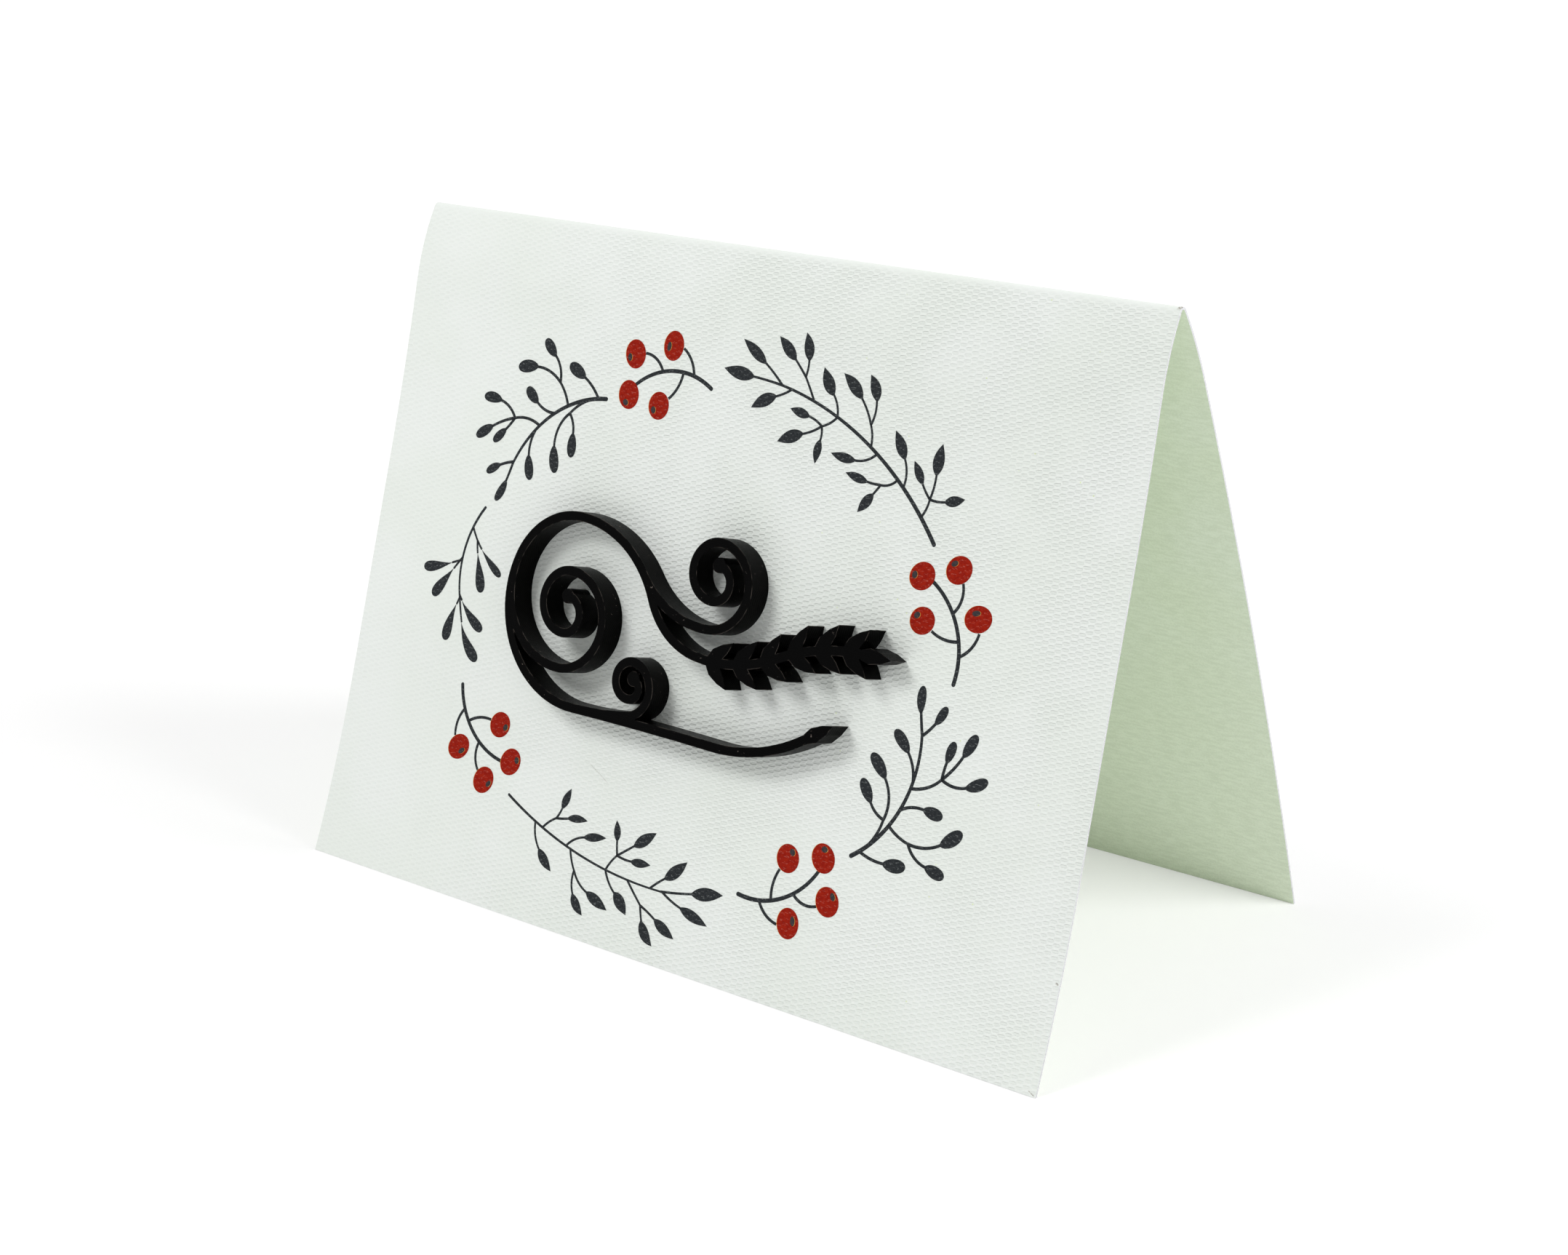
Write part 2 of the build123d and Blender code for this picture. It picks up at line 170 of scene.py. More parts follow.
class Nodes:
    """Shorthand for building a node tree."""

    def __init__(self, tree):
        self.tree = tree

    def add(self, kind, **values):
        node = self.tree.nodes.new(kind)
        for key, value in values.items():
            setattr(node, key, value)
        return node

    def link(self, out, into):
        self.tree.links.new(out, into)

    def fill(self, socket, value):
        """Put a number or colour in a socket, or link an output to it."""
        if isinstance(value, (int, float, tuple)):
            socket.default_value = value
        else:
            self.link(value, socket)

    def math(self, operation, *values):
        node = self.add("ShaderNodeMath", operation=operation)
        for socket, value in zip(node.inputs, values):
            self.fill(socket, value)
        return node.outputs[0]

    def ramp(self, value, low, high, to_low=0.0, to_high=1.0):
        """Smooth step from one level to another as the value goes from low to high."""
        node = self.add("ShaderNodeMapRange", interpolation_type="SMOOTHSTEP")
        for socket, number in zip(node.inputs, (value, low, high, to_low, to_high)):
            self.fill(socket, number)
        return node.outputs["Result"]

    def mix(self, factor, a, b):
        node = self.add("ShaderNodeMix", data_type="RGBA")
        for index, value in ((0, factor), (6, a), (7, b)):
            self.fill(node.inputs[index], value)
        return node.outputs[2]

    def noise(self, vector, scale, detail=2.0, rough=0.5):
        node = self.add("ShaderNodeTexNoise")
        inputs = {"Vector": vector, "Scale": scale, "Detail": detail, "Roughness": rough}
        for key, value in inputs.items():
            self.fill(node.inputs[key], value)
        return node.outputs["Fac"]

    def stretch(self, vector, *scale):
        node = self.add("ShaderNodeMapping")
        self.link(vector, node.inputs["Vector"])
        node.inputs["Scale"].default_value = scale
        return node.outputs[0]

    def parts(self, vector):
        """x and y of a vector, or the first two channels of a colour."""
        node = self.add("ShaderNodeSeparateXYZ")
        self.link(vector, node.inputs[0])
        return node.outputs[:2]

    def times(self, product, *others):
        """All the values multiplied together."""
        for other in others:
            product = self.math("MULTIPLY", product, other)
        return product

    def bump(self, height, distance):
        node = self.add("ShaderNodeBump")
        node.inputs["Distance"].default_value = distance
        self.link(height, node.inputs["Height"])
        return node.outputs["Normal"]

    def streak(self, vector, place, turn, length, breadth):
        """1 on a short soft-edged mark laid at an angle, 0 elsewhere."""
        node = self.add("ShaderNodeMapping", vector_type="TEXTURE")
        self.link(vector, node.inputs["Vector"])
        node.inputs["Location"].default_value = (*place, 0.0)
        node.inputs["Rotation"].default_value = (0.0, 0.0, math.radians(turn))
        near = [
            self.ramp(self.math("ABSOLUTE", value), 0.3 * size, 0.6 * size, 1.0, 0.0)
            for value, size in zip(self.parts(node.outputs[0]), (length, breadth))
        ]
        return self.times(*near)

    def on_sheet(self):
        """Millimetres on the sheet: x along the fold, y from the fold, below 0 on the front."""
        run = self.add("ShaderNodeUVMap", uv_map="run")
        return self.stretch(run.outputs["UV"], map_unit, map_unit, 1.0)


class Surface(Nodes):
    """A material with its shader."""

    def __init__(self, name, roughness, specular):
        self.material = bpy.data.materials.new(name)
        self.material.use_nodes = True
        super().__init__(self.material.node_tree)
        self.shader = self.tree.nodes["Principled BSDF"]
        self.shader.inputs["Roughness"].default_value = roughness
        self.shader.inputs["Specular IOR Level"].default_value = specular

    def finish(self, colour, normal):
        self.link(colour, self.shader.inputs["Base Color"])
        self.link(normal, self.shader.inputs["Normal"])
        return self.material


# The pressed canvas: its stitch in millimetres, how far its rows stray in radians, how much it leans
# to one diagonal and rises between its rows, and the levels of its hollows and flat tops.
stitch_width = 2.2
stitch_height = 0.424
wander_along = 1.6
wander_across = 0.7
canvas_slant = 0.15
row_rise = 0.12
canvas_hollow = -0.4
canvas_top = 0.3
# How strongly it is pressed: by chance, then as it grows from the foot to the fold and from the left
# to the middle, each with its stretch in millimetres and its strength at both ends, then the stretch
# beside the fold where it sets in.
press_by_chance = (0.68, 0.96)
press_up = (-100.0, -10.0, 0.95, 1.12)
press_along = (-70.0, 0.0, 0.38, 1.05)
press_off_fold = (0.3, 1.8)
# Share of the fine grain in the relief, and of the painted shade in the hollows where they are fully
# pressed.
grain_share = 0.16
hollow_shade_share = 0.32


def canvas(n, mm):
    """Height of the pressed canvas, 0 to 1: flat-topped bumps in staggered rows, a little irregular."""
    wander = n.times(n.math("SUBTRACT", n.noise(mm, 0.5), 0.5), wander_along)
    drift = n.times(n.math("SUBTRACT", n.noise(mm, 0.4, detail=1.0), 0.5), wander_across)
    x, y = n.parts(mm)
    across = n.math("MULTIPLY_ADD", x, 2 * math.pi / stitch_width, wander)
    along = n.math("MULTIPLY_ADD", y, math.pi / stitch_height, drift)
    weave = n.times(n.math("COSINE", across), n.math("COSINE", along))
    slant = n.times(n.math("SINE", across), n.math("SINE", along))
    rows = n.math("COSINE", n.times(along, 2.0))
    weave = n.math("MULTIPLY_ADD", slant, canvas_slant, weave)
    return n.ramp(n.math("MULTIPLY_ADD", rows, -row_rise, weave), canvas_hollow, canvas_top)


# Marks on the outer face, a tick and scratches of wear and painted shade of a bent corner and a crushed
# fold end: x, y, turn, length and breadth on the sheet, then strength.
marks = (
    (69.4, -91.9, -30, 0.5, 0.3, 0.9),
    # Painted shade of the bent bottom corner.
    (69.1, -107.0, -25, 1.2, 0.2, 0.7),
    # Painted shade of the crushed end of the fold.
    (69.6, -0.2, 0, 0.8, 1.1, 0.8),
    (-7.2, -99.1, 51, 3.4, 0.2, 0.35),
    (-15.0, -82.2, -27, 4.5, 0.2, 0.3),
)


def wear_and_painted_shade(n, mm):
    """Share of the marks' colour, broken up by a fine noise: dirt of wear, and painted shade of the
    bent corner and the crushed fold end.
    """
    total = 0.0
    for x, y, turn, length, breadth, strength in marks:
        mark = n.times(n.streak(mm, (x, y), turn, length, breadth), strength)
        total = n.math("ADD", mark, total)
    return n.times(total, n.ramp(n.noise(mm, 4.0), 0.4, 0.6, 0.3, 1.0))


# Yellow specks, one to a cell: cells to a millimetre, the share of cells left bare, a speck's soft edge
# in cells, its strength, and the stretch in millimetres along the fold over which they set in.
speck_scale = 0.42
speck_bare = 0.62
speck_edge = (0.03, 0.06)
speck_strength = 0.8
speck_from = (-10.0, 40.0)


def yellow_specks(n, mm, x):
    """Share of yellow in the few small specks on the right half of the face."""
    cells = n.add("ShaderNodeTexVoronoi")
    n.link(mm, cells.inputs["Vector"])
    cells.inputs["Scale"].default_value = speck_scale
    dot = n.ramp(cells.outputs["Distance"], *speck_edge, speck_strength, 0.0)
    chosen = n.math("GREATER_THAN", n.parts(cells.outputs["Color"])[0], speck_bare)
    return n.times(dot, chosen, n.ramp(x, *speck_from))


def paper_outer():
    """Canvas pressed in unevenly: less to the left and near the foot, and not over the fold."""
    n = Surface("card outer face", roughness=0.72, specular=0.25)
    mm = n.on_sheet()
    x, y = n.parts(mm)
    height = canvas(n, mm)
    uneven = n.ramp(n.noise(mm, 0.09), 0.35, 0.65, *press_by_chance)
    from_foot = n.ramp(y, *press_up)
    from_left = n.ramp(x, *press_along)
    off_fold = n.ramp(n.math("ABSOLUTE", y), *press_off_fold)
    press = n.times(uneven, from_foot, from_left, off_fold)
    grain = n.noise(mm, 9.0, detail=3.0, rough=0.6)
    normal = n.bump(n.math("MULTIPLY_ADD", grain, grain_share, n.times(height, press)), canvas_depth)
    tint = n.mix(n.ramp(n.noise(mm, 0.05), 0.35, 0.65), outer_white, outer_shade)
    # Painted shade in the canvas hollows, stronger where the canvas is pressed deeper.
    hollow = n.times(n.ramp(height, 0.0, 0.5, hollow_shade_share, 0.0), press)
    clean = n.mix(yellow_specks(n, mm, x), n.mix(hollow, tint, outer_hollow_shade), speck_yellow)
    # The marks darken the face: wear, and painted shade at the bent corner and the crushed fold end.
    return n.finish(n.mix(wear_and_painted_shade(n, mm), clean, dirt_and_shade_brown), normal)


# Distance from the fold in millimetres from which painted light lightens the inner face.
lighter_from = 35.0


def paper_inner():
    """Smooth pale green-grey with faint lines along the fold's length, with painted light that lightens
    it towards the foot.
    """
    n = Surface("card inner face", roughness=0.85, specular=0.2)
    mm = n.on_sheet()
    felt = n.noise(mm, 3.2, detail=4.0, rough=0.65)
    lines = n.noise(n.stretch(mm, 0.25, 1.3, 1.0), 1.6, detail=3.0, rough=0.6)
    cloud = n.ramp(n.noise(mm, 0.06), 0.3, 0.7)
    from_fold = n.math("ABSOLUTE", n.parts(mm)[1])
    # Painted light: the colour lightens from the middle of the panel down to the foot.
    near_foot = n.ramp(from_fold, lighter_from, panel)
    base = n.mix(near_foot, n.mix(cloud, inner_pale, inner_green), inner_foot_painted_lighter)
    dull = n.ramp(n.math("ADD", felt, lines), 0.8, 1.2, 0.3, 0.0)
    return n.finish(n.mix(dull, base, inner_dull), n.bump(felt, felt_depth))


def paper_edge():
    """Grey cut edge with the paper's fibres."""
    n = Surface("card cut edge", roughness=0.9, specular=0.1)
    fibre = n.noise(n.on_sheet(), 6.0, detail=3.0, rough=0.7)
    colour = n.mix(n.ramp(fibre, 0.3, 0.7), edge_dark, edge_light)
    return n.finish(colour, n.bump(fibre, fibre_depth))


def ink(name):
    """Print on the canvas: mottled, with light flecks where the ink missed the hollows."""
    *levels, fleck_share, mottle_scale = inks[name]
    base, shade, fleck = (srgb(*level) for level in levels)
    n = Surface(name, roughness=0.65, specular=0.06)
    mm = n.on_sheet()
    height = canvas(n, mm)
    mottle = n.ramp(n.noise(mm, mottle_scale, detail=3.0, rough=0.6), 0.35, 0.65)
    dash = n.ramp(n.noise(n.stretch(mm, 1.0, 3.2, 1.0), 2.3, detail=1.0), 0.52, 0.64)
    hollow = n.ramp(height, 0.0, 0.6, 1.0, 0.0)
    missed = n.times(hollow, dash, fleck_share)
    return n.finish(n.mix(missed, n.mix(mottle, base, shade), fleck), n.bump(height, ink_depth))


# Printed plastic: a printed layer's height in metres and its wavering in radians, then how far from a
# rim in metres the wear and painted glints reach and how strong they are.
layer_height = 0.22 * MM
layer_waver = 1.5
rim_radius = 0.18 * MM
rim_wear_and_glint = 0.8


def printed_layers(n, place):
    """Height of the fine layers, which lie along the seat of the ornament."""
    turn = n.add("ShaderNodeMapping")
    n.link(place, turn.inputs["Vector"])
    turn.inputs["Rotation"].default_value = (math.radians(-front_leans[3]), 0, 0)
    wobble = n.times(n.noise(place, 900.0, rough=0.6), layer_waver)
    depth = n.parts(turn.outputs[0])[1]
    return n.math("SINE", n.math("MULTIPLY_ADD", depth, 2 * math.pi / layer_height, wobble))


def near_rim(n):
    """Wear and painted glints where the surface turns a corner close by, 0 on its flat stretches."""
    rounded = n.add("ShaderNodeBevel", samples=4)
    rounded.inputs["Radius"].default_value = rim_radius
    facing = n.add("ShaderNodeVectorMath", operation="DOT_PRODUCT")
    n.link(rounded.outputs[0], facing.inputs[0])
    n.link(n.add("ShaderNodeNewGeometry").outputs["Normal"], facing.inputs[1])
    return n.ramp(facing.outputs["Value"], 0.8, 0.98, rim_wear_and_glint, 0.0)


def black_plastic():
    """Black with fine printed layers, a few scuffs, and rims with wear and painted glints here and
    there.
    """
    n = Surface("black printed plastic", roughness=0.4, specular=0.025)
    place = n.add("ShaderNodeTexCoord").outputs["Object"]
    fine = n.noise(place, 3500.0, detail=3.0, rough=0.65)
    relief = n.math("MULTIPLY_ADD", printed_layers(n, place), 0.5, n.times(fine, 0.6))
    scuffed = n.ramp(n.noise(place, 160.0, detail=1.0), 0.5, 0.6)
    scuff = n.times(n.ramp(n.noise(place, 1500.0, detail=3.0, rough=0.7), 0.67, 0.72), scuffed)
    n.link(n.ramp(fine, 0.3, 0.7, 0.28, 0.42), n.shader.inputs["Roughness"])
    # Painted glints along the rims, broken up by a noise.
    glint = n.times(near_rim(n), n.ramp(n.noise(place, 500.0), 0.45, 0.6))
    body = n.mix(glint, plastic_black, rim_glint)
    return n.finish(n.mix(scuff, body, scuff_grey), n.bump(relief, layer_depth))


# The sheet: points across it, over the fold and down each panel, the fold's reach in millimetres, and
# the angle in degrees from which a corner looks sharp.
sheet_columns = 48
fold_rows = 15
panel_rows = 120
fold_zone = 1.4
sheet_corner = 40


def panel_runs(end):
    """Runs from the fold to the foot, closer together over the fold."""
    over_fold = np.linspace(0, fold_zone, fold_rows)[:-1]
    return np.concatenate([over_fold, np.linspace(fold_zone, end, panel_rows)])


def foot_run(side):
    """Run at which a panel's outer face meets the table."""
    runs, _, zs, _ = front if side < 0 else rear
    return float(np.interp(-level, -zs, runs))


def build_sheet():
    """One closed sheet: outer face over the fold, inner face back, and the cut edges."""
    rows = [(-1, run) for run in panel_runs(foot_run(-1))[::-1]]
    rows += [(1, run) for run in panel_runs(foot_run(1))[1:]]
    shares = np.linspace(-1, 1, sheet_columns)
    verts, uvs = [], []
    for depth in (0.0, thickness):
        for number, (side, run) in enumerate(rows):
            at_foot = number in (0, len(rows) - 1)
            lean = math.radians((front_leans if side < 0 else rear_leans)[-1])
            y, z = on_panel(run - depth * math.tan(lean) * at_foot, depth, side)
            half = width / 2 * float(narrowing(run))
            for share in shares:
                verts.append((share * half, float(y), 0.0 if at_foot else float(z)))
                uvs.append((share * width / 2, side * run))
    outer, inner, edge = range(3)
    faces, slots = [], []

    def index(layer, row, column):
        return (layer * len(rows) + row) * sheet_columns + column

    def add(corners, slot, turned):
        faces.append(tuple(corners[::-1] if turned else corners))
        slots.append(slot)

    for row in range(len(rows) - 1):
        for column in range(sheet_columns - 1):
            ring = ((row, column), (row, column + 1), (row + 1, column + 1), (row + 1, column))
            add([index(0, *corner) for corner in ring], outer, False)
            add([index(1, *corner) for corner in ring], inner, True)
        for column, turned in ((0, True), (sheet_columns - 1, False)):
            ring = ((0, row), (1, row), (1, row + 1), (0, row + 1))
            add([index(layer, line, column) for layer, line in ring], edge, turned)
    for row, turned in ((0, False), (len(rows) - 1, True)):
        for column in range(sheet_columns - 1):
            ring = ((0, column), (1, column), (1, column + 1), (0, column + 1))
            add([index(layer, row, line) for layer, line in ring], edge, turned)
    materials = [paper_outer(), paper_inner(), paper_edge()]
    sheet = make_object("sheet", verts, faces, slots, materials, uvs)
    sheet.data.set_sharp_from_angle(angle=math.radians(sheet_corner))
    dress(sheet, "card_sheet")


# The printed wreath
def heading(angle):
    """Step of one millimetre at an angle in degrees."""
    return np.array([math.cos(math.radians(angle)), math.sin(math.radians(angle))])


class Print:
    """Flat shapes on the front panel, each laid a hair above its face."""

    def __init__(self):
        self.verts, self.faces, self.slots, self.lifts = [], [], [], []
        self.spot = (0.0, 0.0, 0.0)

    def place(self, points, lift):
        """Add points of the motif drawn at the present spot and return the number of the first."""
        x, y, turn = self.spot
        first = len(self.verts)
        for along, across in points:
            self.verts.append(np.array([x, y]) + heading(turn) * along + heading(turn + 90) * across)
            self.lifts.append(lift)
        return first

    def ribbon(self, points, widths, lift):
        """Band along a line of points, as wide at each as its width."""
        points = np.array(points)
        step = np.gradient(points, axis=0)
        step /= np.linalg.norm(step, axis=1)[:, None]
        out = np.stack([-step[:, 1], step[:, 0]], 1) * np.array(widths)[:, None] / 2
        first = self.place(np.vstack([points + out, points - out]), lift)
        count = len(points)
        for k in range(first, first + count - 1):
            self.faces.append((k, k + count, k + count + 1, k + 1))
            self.slots.append(0)

    def oval(self, centre, length, breadth, turn, lift, slot=0, count=40):
        """Filled oval, with its length along the turn."""
        rim = []
        for k in range(count):
            along, across = heading(360 * k / count) * (length / 2, breadth / 2)
            rim.append(centre + heading(turn) * along + heading(turn + 90) * across)
        first = self.place([centre] + rim, lift)
        for k in range(count):
            self.faces.append((first, first + 1 + k, first + 1 + (k + 1) % count))
            self.slots.append(slot)

    def finish(self, name, materials, node, slot):
        """Lay the shapes on the bowed panel as one piece."""
        flat = np.array(self.verts)
        run = panel / 2 - flat[:, 1]
        y, z = on_panel(run, -np.array(self.lifts))
        verts = np.stack([flat[:, 0] * narrowing(run), y, z], 1)
        uvs = np.stack([flat[:, 0], -run], 1)
        dress(make_object(name, verts, self.faces, self.slots, materials, uvs), node)


def arc_through(start, middle, end, count=40):
    """Points of the arc through three points, evenly spaced."""
    a, b, c = (np.array(point, dtype=float) for point in (start, middle, end))
    centre = np.linalg.solve(2 * np.array([b - a, c - a]), np.array([b @ b - a @ a, c @ c - a @ a]))
    first = math.atan2(*(a - centre)[::-1])
    last = math.atan2(*(c - centre)[::-1])
    span = (last - first + math.pi) % (2 * math.pi) - math.pi
    angles = first + span * np.linspace(0, 1, count)
    return centre + np.linalg.norm(a - centre) * np.stack([np.cos(angles), np.sin(angles)], 1)


def at(points, share):
    """Point at a share of an evenly spaced line."""
    place = share * (len(points) - 1)
    return np.array([np.interp(place, range(len(points)), points[:, axis]) for axis in (0, 1)])


def walk(start, length, angles):
    """Points reached by equal steps with the given headings."""
    steps = np.array([heading(angle) for angle in angles]) * length / len(angles)
    return np.vstack([start, start + np.cumsum(steps, axis=0)])


def with_round_start(points, widths):
    """A line with a half circle before its start."""
    step = (points[1] - points[0]) / np.linalg.norm(points[1] - points[0])
    radius = widths[0] / 2
    angles = np.radians(np.linspace(6, 84, 6))
    cap = np.array([points[0] - step * radius * math.cos(angle) for angle in angles])
    return np.vstack([cap, points]), np.concatenate([2 * radius * np.sin(angles), widths])


# Millimetres that each kind of shape lies above the panel, so that none flickers through another.
stem_lift = 0.012
twig_lift = 0.02
leaf_lift = 0.03
yellow_lift = 0.024
red_lift = 0.032
eye_rim_lift = 0.038
eye_lift = 0.046
# A twig's steps, and how it thins from its start to its end, as shares of its width.
twig_steps = 12
twig_taper = (1.06, 0.94)
# How far a leaf reaches back over its twig, how many points its line has, and how wide its tip is.
leaf_sink = 0.2
leaf_points = 20
leaf_tip = 0.01

# How each kind of leaf swells and closes, and how wide its twigs are.
leaf_forms = {"pointed": (0.85, 1.1), "oval": (0.62, 0.48), "drop": (1.5, 0.48)}
twig_widths = {"pointed": 0.37, "oval": 0.46, "drop": 0.37}


def draw_stem(art, points, widths):
    """Stem along the arc through three points. Returns its line."""
    line = arc_through(*points)
    shape = with_round_start(line, np.linspace(*widths, len(line)))
    art.ribbon(*shape, stem_lift)
    return line


def draw_twig(art, start, angle, length, end_angle, breadth):
    """Twig that bends from its first heading to its last. Returns its end."""
    points = walk(start, length, np.linspace(angle, end_angle, twig_steps))
    art.ribbon(points, np.linspace(*twig_taper, len(points)) * breadth, twig_lift)
    return points[-1]


def draw_leaf(art, base, leaf, kind):
    """Leaf of a length, angle, width and curl, which bends its line either way of the angle."""
    length, angle, breadth, curl = leaf
    swell, close = leaf_forms[kind]
    share = (1 - np.cos(np.linspace(0, math.pi, leaf_points))) / 2
    fullness = share ** swell * (1 - share) ** close
    total = length + leaf_sink
    points = [base - heading(angle) * leaf_sink]
    for near, far in zip(share, share[1:]):
        points.append(points[-1] + heading(angle + curl * (near + far - 1)) * (far - near) * total)
    art.ribbon(points, fullness / fullness.max() * breadth + leaf_tip, leaf_lift)


def draw_leaves(art, start, leaves, kind):
    """Leaves on their twigs. Each is its twig's length and angle, then the leaf."""
    for reach, twig_angle, *leaf in leaves:
        _, angle, _, curl = leaf
        end = draw_twig(art, start, twig_angle, reach, angle - curl, twig_widths[kind])
        draw_leaf(art, end, leaf, kind)


def draw_sprig(art, spot, sprig, kind):
    """A sprig: its stem's points and widths, then its twigs: share of the stem, fork if any, leaves."""
    art.spot = spot
    points, widths, twigs = sprig
    line = draw_stem(art, points, widths)
    for share, fork, leaves in twigs:
        start = at(line, share)
        if fork:
            start = draw_twig(art, start, *fork, twig_widths[kind])
        draw_leaves(art, start, leaves, kind)


# Sprigs in millimetres and degrees, each from 0, 0 to the right. A fork is the twig's first angle,
# its length and its last angle. A leaf is its twig's length and first angle, then its own length,
# angle, width and curl.
pointed_sprig = (
    [(0, 0), (19.1, -5.3), (36.1, -3.6)], (0.68, 0.4),
    [
        (0.99, None, [(5.2, 17, 5.7, 19, 2.0, -2)]),
        (0.98, None, [(4.6, -17, 5.5, -8, 1.7, 1)]),
        (0.93, None, [(3.1, 58, 4.8, 52, 1.9, 8)]),
        (0.81, (-34, 3.9, -30), [(3.2, -22, 4.5, -16, 1.8, 2), (2.5, -80, 4.0, -50, 1.8, 10)]),
        (0.68, None, [(3.4, -62, 4.3, -33, 2.0, -8)]),
        (0.68, (73, 3.1, 43), [
            (2.8, -10, 3.6, 14, 1.4, 1), (3.6, 60, 4.7, 46, 1.9, 5), (2.1, 132, 3.4, 109, 1.4, 6)]),
        (0.48, (-70, 3.2, -40), [(4.2, -42, 4.8, -15, 1.9, 8), (3.6, -88, 3.9, -40, 1.8, 16)]),
        (0.44, None, [(4.1, 68, 4.4, 19, 1.4, -5)]),
        (0.3, (72, 3.1, 23), [(2.5, 28, 4.0, 14, 1.3, -2), (1.9, 80, 3.6, 77, 1.6, 0)]),
        (0.26, None, [(4.2, -80, 4.3, -34, 1.8, 3)]),
        (0.12, (-100, 2.9, -72), [
            (2.6, -19, 3.5, -32, 1.4, 1), (3.6, -82, 4.4, -70, 1.9, -6),
            (2.7, -165, 3.3, -140, 1.5, 4)]),
    ],
)
low_sprig = (
    [(0, 0), (18.1, -3.4), (34.2, -2.4)], (0.44, 0.3),
    [
        (0.98, None, [(5.9, 16, 5.7, 20, 2.0, -1)]),
        (0.99, None, [(4.2, -19, 5.6, -6, 1.6, 0)]),
        (0.92, None, [(3.2, 53, 4.8, 52, 1.9, 7)]),
        (0.79, (-35, 4.6, -32), [(3.5, -11, 4.6, -16, 1.6, 3), (2.4, -65, 4.3, -38, 1.7, 19)]),
        (0.66, None, [(4.0, -54, 4.0, -33, 1.9, -6)]),
        (0.66, (76, 3.1, 56), [
            (2.9, -5, 3.7, 13, 1.3, 1), (3.6, 45, 4.6, 46, 1.8, 1), (2.3, 117, 3.0, 113, 1.3, 4)]),
        (0.44, (-64, 3.4, -44), [(4.3, -48, 4.8, -12, 1.7, 0), (3.7, -90, 3.8, -36, 1.5, 14)]),
        (0.41, None, [(3.9, 60, 4.3, 20, 1.3, -2)]),
        (0.25, (60, 3.1, 38), [(2.4, 15, 3.9, 15, 1.2, -9), (2.0, 66, 3.4, 80, 1.4, -2)]),
        (0.2, None, [(4.5, -76, 4.2, -32, 1.6, 6)]),
    ],
)
oval_sprig = (
    [(-0.3, 0.2), (9.6, -4.3), (20.7, -2.8)], (0.68, 0.46),
    [
        (0.07, None, [(4.5, -97, 3.7, -69, 2.0, 4)]),
        (0.35, (-113, 4.1, -88), [(5.6, -83, 4.0, -36, 2.0, 8), (4.5, -135, 3.3, -88, 1.8, -2)]),
        (0.48, None, [(4.2, -43, 3.2, -82, 1.8, -1)]),
        (0.64, (-70, 5.5, -29), [
            (4.9, -30, 3.7, -12, 1.7, 1), (4.3, -100, 3.7, -47, 1.7, 10), (2.6, 12, 3.1, 0, 1.5, -2)]),
        (0.68, None, [(4.4, 19, 3.8, 62, 1.8, 7)]),
        (0.98, None, [(2.9, -33, 3.0, -14, 1.4, 6)]),
        (0.99, None, [(3.1, 31, 3.7, 19, 1.5, -9)]),
        (0.13, (-24, 4.9, 3), [(6.2, -4, 4.1, 60, 1.9, 8), (3.4, 88, 3.6, 50, 1.8, 2)]),
    ],
)
drop_sprig = (
    [(0, 0), (7.5, -4.1), (15.0, -4.2)], (0.48, 0.38),
    [
        (0.24, (23, 2.4, 31), [(1.7, 34, 6.0, 46, 1.3, 6), (2.0, 0, 6.3, 11, 1.9, 0)]),
        (0.59, None, [(2.2, -80, 6.1, -83, 1.7, -7)]),
        (0.56, None, [(2.6, -44, 6.1, -44, 1.9, 0)]),
        (0.93, None, [(1.1, 36, 6.6, 45, 1.7, 12)]),
        (0.96, None, [(1.2, -27, 6.2, -20, 1.9, 9)]),
        (0.99, None, [(3.5, 9, 7.1, 32, 1.9, 19)]),
    ],
)
# A bunch: twigs from a share of the stem, and berries with the eye of each. A berry is its centre,
# then length, width and turn. Its eye is the angle and distance from that centre, then the same.
bunch_stem = [(0.3, 0.1), (8.6, -3.0), (15.4, -1.05)]
bunch_stem_widths = (0.66, 0.56)
bunch_twig_width = 0.46
bunch_twigs = [(0.24, -90, 4.8, -42), (0.62, -72, 4.7, -12), (0.37, 72, 4.9, 32)]
bunch_berries = [
    ((7.4, -6.7), (4.5, 3.8, 75), (2, 0.9), (1.4, 0.8, 74)),
    ((14.9, -5.95), (4.4, 3.9, 93), (19, 1.2), (1.2, 0.8, 89)),
    ((10.4, 2.1), (4.2, 3.9, 80), (28, 1.2), (1.1, 0.9, 100)),
    ((16.3, 0.1), (4.4, 3.9, 94), (60, 1.3), (1.1, 0.9, 145)),
]
# The yellow of the print sits a little to the left of the red.
yellow_shift = 0.07


def draw_bunch(sprigs, berries, eyes, spot):
    """A bunch of four berries, each red over its yellow, with a dark eye."""
    for art in (sprigs, berries, eyes):
        art.spot = spot
    line = draw_stem(sprigs, bunch_stem, bunch_stem_widths)
    for share, *twig in bunch_twigs:
        draw_twig(sprigs, at(line, share), *twig, bunch_twig_width)
    left = heading(180 - spot[2]) * yellow_shift
    for centre, berry, (angle, distance), eye in bunch_berries:
        eye_centre = np.array(centre) + heading(angle) * distance
        berries.oval(centre + left, *berry, yellow_lift, 1)
        berries.oval(np.array(centre), *berry, red_lift)
        berries.oval(eye_centre - left, *eye, eye_rim_lift, 1)
        eyes.oval(eye_centre, *eye, eye_lift, count=24)


